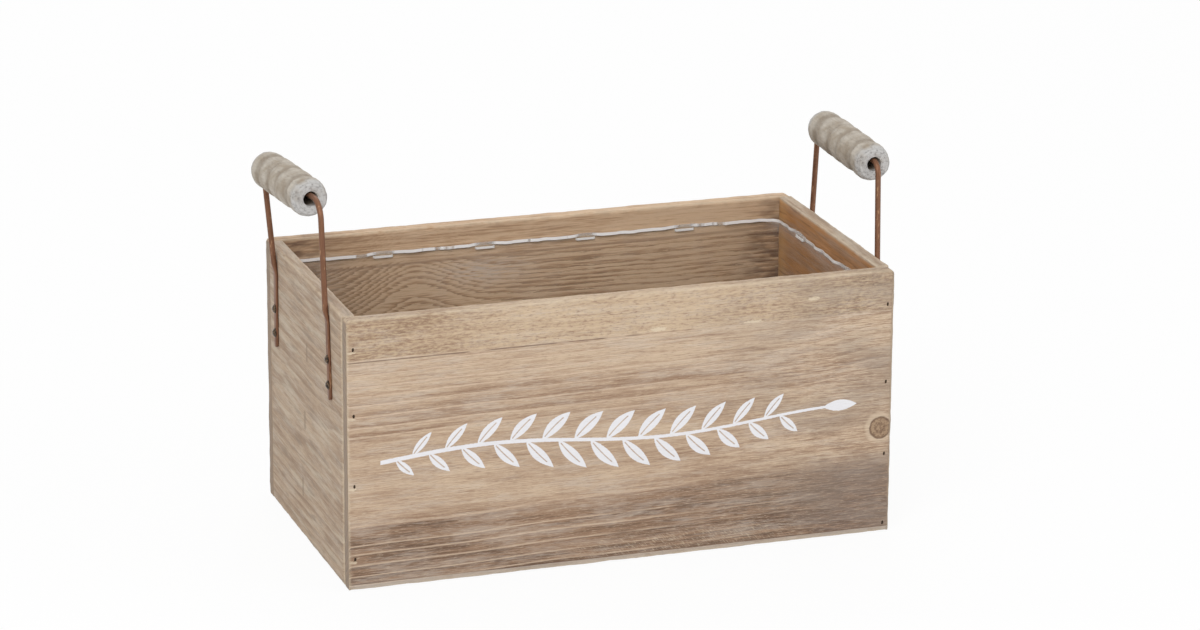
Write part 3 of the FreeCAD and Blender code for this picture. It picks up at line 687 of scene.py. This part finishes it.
def dress(node, finish):
    """Give a CAD node its finish."""
    part = frame["nodes"][node]
    part.data.materials.clear()
    part.data.materials.append(finish)


def add_block(low, high):
    """A cube stretched between two corners, with its place in its mesh."""
    bpy.ops.mesh.primitive_cube_add(size=1, location=(low + high) / 2, scale=high - low)
    bpy.ops.object.transform_apply(location=True, rotation=True, scale=True)


def apply_modifier(piece, kind, **settings):
    """Add a modifier with these settings, and apply it."""
    modifier = piece.modifiers.new(kind.lower(), kind)
    for name, value in settings.items():
        setattr(modifier, name, value)
    bpy.ops.object.modifier_apply(modifier=modifier.name)


def dent(piece, name, depth, scale, group=""):
    """Press a piece's surface in here and there, and never out."""
    clouds = bpy.data.textures.new(name, "CLOUDS")
    clouds.noise_scale = scale
    clouds.noise_depth = 2
    clouds.contrast = 1.3
    apply_modifier(piece, "DISPLACE", texture=clouds, texture_coords="LOCAL", direction="NORMAL",
                   strength=depth, mid_level=1.1, vertex_group=group)


ARRIS = 1.1 * MM
CORNER_ROUNDING = 3 * MM
CORNER_STEPS = 4
GRID = 2.4 * MM
LONG_EDGE = 50 * MM


def cut_corner_strips(high):
    """Cut a board near its top corners, so that they can be rounded."""
    for step in range(CORNER_STEPS):
        inset = CORNER_ROUNDING * (1 - math.tan(step * math.pi / 4 / CORNER_STEPS))
        for place, normal in (((high.x - inset, 0, 0), RIGHT), ((inset - high.x, 0, 0), RIGHT),
                              ((0, 0, high.z - inset), UP)):
            bpy.ops.mesh.select_all(action="SELECT")
            bpy.ops.mesh.bisect(plane_co=place, plane_no=normal)


def round_corners(piece, high):
    """Draw the square top corners of a board in to quarter rounds."""
    middle_x = high.x - CORNER_ROUNDING
    middle_z = high.z - CORNER_ROUNDING
    shape = bmesh.from_edit_mesh(piece.data)
    for vertex in shape.verts:
        out, up = abs(vertex.co.x) - middle_x, vertex.co.z - middle_z
        if out > 0 and up > 0:
            draw = max(out, up) / math.hypot(out, up)
            vertex.co.x = math.copysign(middle_x + out * draw, vertex.co.x)
            vertex.co.z = middle_z + up * draw
    bmesh.update_edit_mesh(piece.data)


def plank(node, finish, grain, rounded):
    """A board with its arrises rubbed round and dented."""
    low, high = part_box(node)
    add_block(low, high)
    piece = start_piece(node + "_wood")
    if rounded:
        cut_corner_strips(high)
    for direction in (grain, UP):
        divide_along(piece, direction, LONG_EDGE, round((high - low).dot(direction) / GRID))
    if rounded:
        round_corners(piece, high)
    bpy.ops.object.mode_set(mode="OBJECT")
    apply_modifier(piece, "BEVEL", width=ARRIS, segments=3, limit_method="ANGLE",
                   angle_limit=math.radians(40))
    edges = piece.vertex_groups.new(name="edges")
    rubbed = [v.index for v in piece.data.vertices
              if sum(min(v.co[i] - low[i], high[i] - v.co[i]) < ARRIS * 1.01 for i in range(3)) >= 2]
    edges.add(rubbed, 1.0, "REPLACE")
    dent(piece, node + "_wear", depth=0.45 * MM, scale=13 * MM, group="edges")
    dent(piece, node + "_chips", depth=0.3 * MM, scale=2.5 * MM, group="edges")
    piece.vertex_groups.clear()
    bpy.ops.object.shade_smooth_by_angle(angle=math.radians(35))
    end_piece(piece, "box", "board_wood", finish, node)
    return piece


BRAD_HOLE = Vector((0.7, 1.3, 1.15)) * MM
HOLE_RAGGEDNESS = 0.12 * MM


def loose_middles(node):
    """The middle of each separate solid in a CAD node, from the lowest up."""
    mesh = bmesh.new()
    mesh.from_mesh(frame["nodes"][node].data)
    bmesh.ops.remove_doubles(mesh, verts=mesh.verts, dist=0.001 * MM)
    left = set(mesh.verts)
    middles = []
    while left:
        group, front = set(), [left.pop()]
        while front:
            vertex = front.pop()
            group.add(vertex)
            for edge in vertex.link_edges:
                other = edge.other_vert(vertex)
                if other in left:
                    left.remove(other)
                    front.append(other)
        corners = [[bound(v.co[i] for v in group) for i in range(3)] for bound in (min, max)]
        middles.append((Vector(corners[0]) + Vector(corners[1])) / 2)
    mesh.free()
    return sorted(middles, key=lambda middle: middle.z)


def pierce(board, face, brads):
    """Cut a ragged hole over each sunk brad head, from the board's outer face."""
    pegs = []
    for node in brads:
        for middle in loose_middles(node):
            bpy.ops.mesh.primitive_cylinder_add(
                vertices=9, radius=1, depth=2, rotation=(math.pi / 2, 0, 0),
                location=(middle.x, face, middle.z))
            peg = bpy.context.object
            peg.scale = (BRAD_HOLE.x, BRAD_HOLE.z, BRAD_HOLE.y)
            bpy.ops.object.transform_apply(location=True, rotation=True, scale=True)
            bpy.ops.object.mode_set(mode="EDIT")
            bpy.ops.mesh.select_all(action="SELECT")
            bpy.ops.transform.vertex_random(offset=HOLE_RAGGEDNESS, seed=len(pegs) + 1)
            bpy.ops.object.mode_set(mode="OBJECT")
            pegs.append(peg)
    select_only(*pegs)
    bpy.ops.object.join()
    cutter = bpy.context.object
    select_only(board)
    apply_modifier(board, "BOOLEAN", object=cutter, operation="DIFFERENCE", solver="MANIFOLD")
    bpy.data.objects.remove(cutter)
    board.select_set(False)


def smooth_copy(node, slot, finish):
    """A CAD node's own mesh, joined up so that its round parts shade smoothly."""
    piece = frame["nodes"][node].copy()
    piece.data = piece.data.copy()
    piece.parent = None
    bpy.context.scene.collection.objects.link(piece)
    piece.name = node + "_smooth"
    select_only(piece)
    bpy.ops.object.mode_set(mode="EDIT")
    bpy.ops.mesh.select_all(action="SELECT")
    bpy.ops.mesh.remove_doubles(threshold=0.002 * MM)
    bpy.ops.object.mode_set(mode="OBJECT")
    bpy.ops.object.shade_smooth_by_angle(angle=math.radians(40))
    end_piece(piece, "box", slot, finish, node)


# Grips

GRIP_LENGTH = 76 * MM
GRIP_BORE = 3.5 * MM
BORE_LIP = 0.4 * MM
BORE_CHAMFER = 0.35 * MM
GRIP_END = 9.3 * MM
GRIP_ROUNDING = 1.6 * MM
OUTER_GROOVE = 9.5 * MM
INNER_GROOVE = 10.0 * MM
BULB_WIDTH = 12.7 * MM
MIDDLE_BEAD = 12.0 * MM
BEAD_STEPS = 9
GRIP_SIDES = 96


def lobe(start, width, first, last, rise):
    """Radius and place along one bead, from the groove before it to the next."""
    points = []
    for step in range(BEAD_STEPS):
        share = step / BEAD_STEPS
        swell = rise * math.sin(math.pi * share) ** 0.55
        points.append((first + (last - first) * share + swell, start + width * share))
    return points


def grip_profile():
    """The turned outline from the bore out, along the grip and back to the bore."""
    bead = (GRIP_LENGTH - BULB_WIDTH * 2 - MIDDLE_BEAD) / 2
    lengths = (BULB_WIDTH - GRIP_ROUNDING, bead, MIDDLE_BEAD, bead, BULB_WIDTH - GRIP_ROUNDING)
    grooves = (GRIP_END, OUTER_GROOVE, INNER_GROOVE, INNER_GROOVE, OUTER_GROOVE, GRIP_END)
    rises = (1.1 * MM, 0.8 * MM, 0.55 * MM, 0.8 * MM, 1.1 * MM)
    points = [(GRIP_BORE, BORE_CHAMFER), (GRIP_BORE + BORE_LIP, 0)]
    points += [(GRIP_END - GRIP_ROUNDING * (1 + share), 0) for share in (1.6, 0.8)]
    rounding = [(math.sin(turn), 1 - math.cos(turn)) for turn in (0, 0.4, 0.8, 1.2)]
    points += [(GRIP_END - GRIP_ROUNDING * (1 - out), GRIP_ROUNDING * along) for out, along in rounding]
    place = GRIP_ROUNDING
    for number, length in enumerate(lengths):
        points += lobe(place, length, grooves[number], grooves[number + 1], rises[number])
        place += length
    points += [(GRIP_END - GRIP_ROUNDING * (1 - out), GRIP_LENGTH - GRIP_ROUNDING * along)
               for out, along in reversed(rounding)]
    points += [(GRIP_END - GRIP_ROUNDING * (1 + share), GRIP_LENGTH) for share in (0.8, 1.6)]
    return points + [(GRIP_BORE + BORE_LIP, GRIP_LENGTH), (GRIP_BORE, GRIP_LENGTH - BORE_CHAMFER)]


def turned_grip(node, finish, joint):
    """Turn a grip ring by ring on the lathe line, dent it and hang it on its wire."""
    profile = grip_profile()
    radius, place = profile[0]
    start = place - GRIP_LENGTH / 2
    bpy.ops.mesh.primitive_circle_add(vertices=GRIP_SIDES, radius=radius, location=(0, 0, start))
    bpy.ops.object.transform_apply(location=True, rotation=False, scale=False)
    piece = start_piece(node + "_wood")
    bpy.ops.mesh.select_all(action="SELECT")
    for (last_radius, last_place), (radius, place) in zip(profile, profile[1:] + profile[:1]):
        bpy.ops.mesh.extrude_region()
        bpy.ops.transform.translate(value=(0, 0, place - last_place))
        grow = radius / last_radius
        bpy.ops.transform.resize(value=(grow, grow, 1), center_override=(0, 0, place - GRIP_LENGTH / 2))
    bpy.ops.mesh.select_all(action="SELECT")
    bpy.ops.mesh.remove_doubles(threshold=0.02 * MM)
    bpy.ops.mesh.normals_make_consistent(inside=False)
    bpy.ops.object.mode_set(mode="OBJECT")
    dent(piece, node + "_wear", depth=0.5 * MM, scale=9 * MM)
    dent(piece, node + "_chips", depth=0.3 * MM, scale=2.2 * MM)
    piece.rotation_mode = "QUATERNION"
    piece.rotation_quaternion = UP.rotation_difference(Vector(joint["axis"]))
    piece.location = joint["pos_m"]
    bpy.ops.object.transform_apply(location=True, rotation=True, scale=False)
    bpy.ops.object.shade_smooth_by_angle(angle=math.radians(50))
    end_piece(piece, node, "grip_wood", finish, node)


# Film liner

FILM_OFF_WALL = 0.15 * MM
FILM_CORNER = 9 * MM
FILM_FOOT = 4 * MM
FILM_THICKNESS = 0.05 * MM
EDGE_ROWS = (0.5 * MM, 1.1 * MM)
# Per direction, the length from which edges are divided and their number of cuts
FILM_CUTS = ((RIGHT, 100 * MM, 119), (BACK, 100 * MM, 59), (UP, 50 * MM, 47))
WALL_START = 20 * MM
TOP_ZONE = 14 * MM
MILKY_ZONE = 10 * MM
WRINKLES = 1.1 * MM
CREASES = 0.35 * MM
TOP_WAVES = 1.5 * MM
SAG = 0.4 * MM
HEM = 2.4 * MM
HEM_EDGE = 1.5 * MM
HEM_FADE = 0.3 * MM
HEM_ROOM = 0.45 * MM
HEM_RISE = 0.1 * MM
HEM_DRAW = 0.04 * MM
LONG_STAPLES = tuple(number * 57.7 * MM for number in (-1.5, -0.5, 0.5, 1.5))
END_STAPLES = (-36 * MM, 36 * MM)
STAPLE_HOLD = 8 * MM


def inwards(point, half):
    """From a wall of the liner straight in, and slantwise in at a corner."""
    over_x = max(abs(point.x) - half.x + FILM_CORNER, 0)
    over_y = max(abs(point.y) - half.y + FILM_CORNER, 0)
    over = Vector((over_x, over_y, 0))
    if over.length == 0:
        return Vector((0, 0, 0))
    over.normalize()
    return Vector((-math.copysign(over.x, point.x), -math.copysign(over.y, point.y), 0))


def held(point, half):
    """1 at a staple, falling to 0 about 15 mm from it."""
    at_end = abs(point.x) > half.x - FILM_CORNER
    along, staples = (point.y, END_STAPLES) if at_end else (point.x, LONG_STAPLES)
    nearest = min(abs(along - staple) for staple in staples)
    return math.exp(-(nearest / STAPLE_HOLD) ** 2)


def wrinkle(piece, low, high, half):
    """Let the walls hang in soft wrinkles, and the top edge sag between the staples."""
    shape = bmesh.from_edit_mesh(piece.data)
    for vertex in shape.verts:
        point = vertex.co.copy()
        rising = min(max((point.z - low.z - FILM_FOOT) / WALL_START, 0), 1)
        if rising == 0:
            continue
        lengthways = Vector((point.x / (16 * MM), point.y / (16 * MM), point.z / (45 * MM)))
        fine = Vector((point.x / (6 * MM), point.y / (6 * MM), point.z / (12 * MM)))
        near_top = max(1 - (high.z - point.z) / TOP_ZONE, 0)
        fixed = held(point, half) * near_top
        slack = WRINKLES * (noise.noise(lengthways) + 0.35) + CREASES * abs(noise.noise(fine))
        slack += near_top * TOP_WAVES * (noise.noise(lengthways * 2.2 + fine * 0.1) + 0.5)
        vertex.co += inwards(point, half) * max(slack, 0) * rising * (1 - fixed)
        sag = (noise.noise(Vector((point.x, point.y, 0)) / (30 * MM)) + 0.8) * SAG
        vertex.co.z -= sag * near_top * (1 - fixed)


def turn_hem(piece, half):
    """Fold the top edge in and down, and give back the vertices that get the painted highlight."""
    pick(piece, "edges", lambda edge: edge.is_boundary)
    shape = bmesh.from_edit_mesh(piece.data)
    highlight_verts = {vertex.index for vertex in shape.verts if vertex.select}
    bpy.ops.mesh.extrude_region()
    shape = bmesh.from_edit_mesh(piece.data)
    shape.verts.index_update()
    highlight_verts |= {vertex.index for vertex in shape.verts if vertex.select}
    for vertex in shape.verts:
        if vertex.select:
            vertex.co += inwards(vertex.co, half) * HEM_ROOM + UP * HEM_RISE
    for drop in (HEM_EDGE, HEM_FADE, HEM - HEM_EDGE - HEM_FADE):
        bpy.ops.mesh.extrude_region()
        shape = bmesh.from_edit_mesh(piece.data)
        shape.verts.index_update()
        for vertex in shape.verts:
            if vertex.select:
                vertex.co -= inwards(vertex.co, half) * HEM_DRAW
                if drop == HEM_EDGE:
                    highlight_verts.add(vertex.index)
        bpy.ops.transform.translate(value=(0, 0, -drop))
    return highlight_verts


def mark_hem(piece, highlight_verts, high, half):
    """Keep how white each point is: a painted highlight on the hem away from its staples, less at the
    two ends, and a faint veil on the ends just below it."""
    painted_highlight_and_veil = piece.data.attributes.new("painted_highlight_and_veil", "FLOAT", "POINT")
    for vertex in piece.data.vertices:
        loose = 1 - held(vertex.co, half)
        at_end = min(max((abs(vertex.co.x) - half.x + FILM_CORNER) / FILM_CORNER, 0), 1)
        near_top = max(1 - (high.z - vertex.co.z) / MILKY_ZONE, 0)
        # Painted highlight on the hem, weaker at the staples and at the ends.
        whole = at_end * 0.3 + (0.1 + loose * 0.9) * (1 - at_end)
        veil = at_end * near_top * 0.13
        painted_highlight_and_veil.data[vertex.index].value = whole if vertex.index in highlight_verts else veil


def film_liner(finish):
    """The film tub: wrinkled walls, and a hem folded at the top between staples."""
    low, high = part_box("film_liner")
    inset = Vector((FILM_OFF_WALL, FILM_OFF_WALL, 0))
    low, high = low + inset, high - inset
    half = (high - low) / 2
    add_block(low, high)
    piece = start_piece("film_tub")
    pick(piece, "faces", lambda face: face.normal.z > 0.9)
    bpy.ops.mesh.delete(type="FACE")
    pick(piece, "edges", lambda edge: edge_runs_along(edge, UP))
    bpy.ops.mesh.bevel(offset=FILM_CORNER, segments=7)
    pick(piece, "edges", lambda edge: all(v.co.z < low.z + MM for v in edge.verts))
    bpy.ops.mesh.bevel(offset=FILM_FOOT, segments=3)
    for below_top in EDGE_ROWS:
        bpy.ops.mesh.select_all(action="SELECT")
        bpy.ops.mesh.bisect(plane_co=(0, 0, high.z - below_top), plane_no=UP)
    for direction, shortest, cuts in FILM_CUTS:
        divide_along(piece, direction, shortest, cuts)
    wrinkle(piece, low, high, half)
    highlight_verts = turn_hem(piece, half)
    bpy.ops.object.mode_set(mode="OBJECT")
    mark_hem(piece, highlight_verts, high, half)
    apply_modifier(piece, "SOLIDIFY", thickness=FILM_THICKNESS, offset=-1)
    bpy.ops.object.shade_smooth_by_angle(angle=math.radians(50))
    end_piece(piece, "box", "liner_film", finish, "film_liner")


# Floor, light and camera

CAMERA_AZIMUTH = -18.836
CAMERA_ELEVATION = 17.203
CAMERA_ROLL = 0.318
CAMERA_PLACE = Vector((-0.72035, -2.15050, 0.81346))
FOCAL_PIXELS = 4449.87
PHOTO_WIDTH = 1200
SENSOR = 36.0


def add_camera():
    """The camera of the reference view."""
    camera_data = bpy.data.cameras.new("camera")
    camera_data.sensor_width = SENSOR
    camera_data.lens = SENSOR * FOCAL_PIXELS / PHOTO_WIDTH
    camera = bpy.data.objects.new("camera", camera_data)
    bpy.context.scene.collection.objects.link(camera)
    azimuth, elevation, roll = map(math.radians, (CAMERA_AZIMUTH, CAMERA_ELEVATION, CAMERA_ROLL))
    turn = (Matrix.Rotation(azimuth, 4, "Z") @ Matrix.Rotation(math.pi / 2 - elevation, 4, "X")
            @ Matrix.Rotation(roll, 4, "Z"))
    camera.matrix_world = Matrix.Translation(CAMERA_PLACE) @ turn
    camera_data.clip_start = 0.1
    camera_data.clip_end = 50
    bpy.context.scene.camera = camera


def add_lamp(name, place, size, power):
    """A square lamp that is aimed at the middle of the box."""
    lamp_data = bpy.data.lights.new(name, "AREA")
    lamp_data.shape = "SQUARE"
    lamp_data.size = size
    lamp_data.energy = power
    lamp = bpy.data.objects.new(name, lamp_data)
    bpy.context.scene.collection.objects.link(lamp)
    lamp.location = place
    aim = Vector((0, 0, 80 * MM)) - Vector(place)
    lamp.rotation_euler = aim.to_track_quat("-Z", "Y").to_euler()


def seen_directly(sums):
    """1 for rays that come from the camera, from a mirror-like surface or
    through a clear one."""
    path = sums.tree.nodes.new("ShaderNodeLightPath")
    camera, glossy, through = (Signal(sums, path.outputs[name]) for name in
                               ("Is Camera Ray", "Is Glossy Ray", "Is Transmission Ray"))
    return sums.most(sums.most(camera, glossy), through)


WORLD_LIGHT = 0.62
FLOOR_SIZE = 12
FLOOR_DROP = 0.2 * MM
FLOOR_GLOW = 0.92


def add_world():
    """White where it is seen directly, and a plain level of light on the object."""
    world = bpy.data.worlds.new("studio")
    world.use_nodes = True
    bpy.context.scene.world = world
    background = world.node_tree.nodes["Background"]
    background.inputs["Color"].default_value = (1, 1, 1, 1)
    studio = Tree(world.node_tree)
    studio.feed(background.inputs["Strength"], WORLD_LIGHT + seen_directly(studio) * (1 - WORLD_LIGHT))


def add_floor():
    """A pale floor that glows white where it is seen directly."""
    bpy.ops.mesh.primitive_plane_add(size=FLOOR_SIZE, location=(0, 0, -FLOOR_DROP))
    floor = bpy.context.object
    floor.name = "floor"
    floor.data.transform(floor.matrix_world)
    floor.matrix_world = Matrix.Identity(4)
    finish = Finish("pale_floor")
    finish.finish((0.86, 0.86, 0.86, 1.0), 0.9)
    glow = finish.node("ShaderNodeEmission", inputs={"Color": (1, 1, 1, 1), "Strength": 1.0})
    mixed = finish.node("ShaderNodeMixShader", inputs={
        0: seen_directly(finish) * FLOOR_GLOW, 1: Signal(finish, finish.shader.outputs[0]), 2: glow})
    finish.feed(finish.tree.nodes["Material Output"].inputs["Surface"], mixed)
    floor.data.materials.append(finish.material)
    floor.select_set(False)


add_camera()
add_world()
add_floor()
add_lamp("key", (-1.1, -1.5, 1.7), size=1.2, power=26)
add_lamp("fill", (1.6, -1.2, 1.0), size=1.6, power=9)
add_lamp("back", (0.3, 1.7, 1.6), size=1.4, power=10)

front = plank("front_board", front_board_finish(), RIGHT, rounded=True)
pierce(front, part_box("front_board")[0].y, ["front_left_brads", "front_right_brads"])
back = plank("back_board", back_board_finish(), RIGHT, rounded=True)
pierce(back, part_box("back_board")[1].y, ["back_left_brads", "back_right_brads"])
plank("left_end_board", end_board_finish("left_end_board", -1, 5.2), BACK, rounded=False)
plank("right_end_board", end_board_finish("right_end_board", 1, 17.9), BACK, rounded=False)
dress("bottom_board", bottom_board_finish())
film_liner(film_finish())
wire = wire_finish()
nail = nail_finish()
brad = brad_finish()
staple = staple_finish()
joints = {joint["child"]: joint for joint in frame["joints"]}
for side in ("left", "right"):
    grip = side + "_grip"
    smooth_copy(f"{side}_bail", "bail_wire", wire)
    smooth_copy(f"{side}_bail_nails", "nail_metal", nail)
    turned_grip(grip, grip_finish(grip, joints[grip]), joints[grip])
    dress(f"{side}_end_staples", staple)
    for end in ("front", "back"):
        dress(f"{end}_{side}_brads", brad)
for end in ("front", "back"):
    dress(f"{end}_staples", staple)

bpy.context.scene.view_settings.view_transform = "Standard"
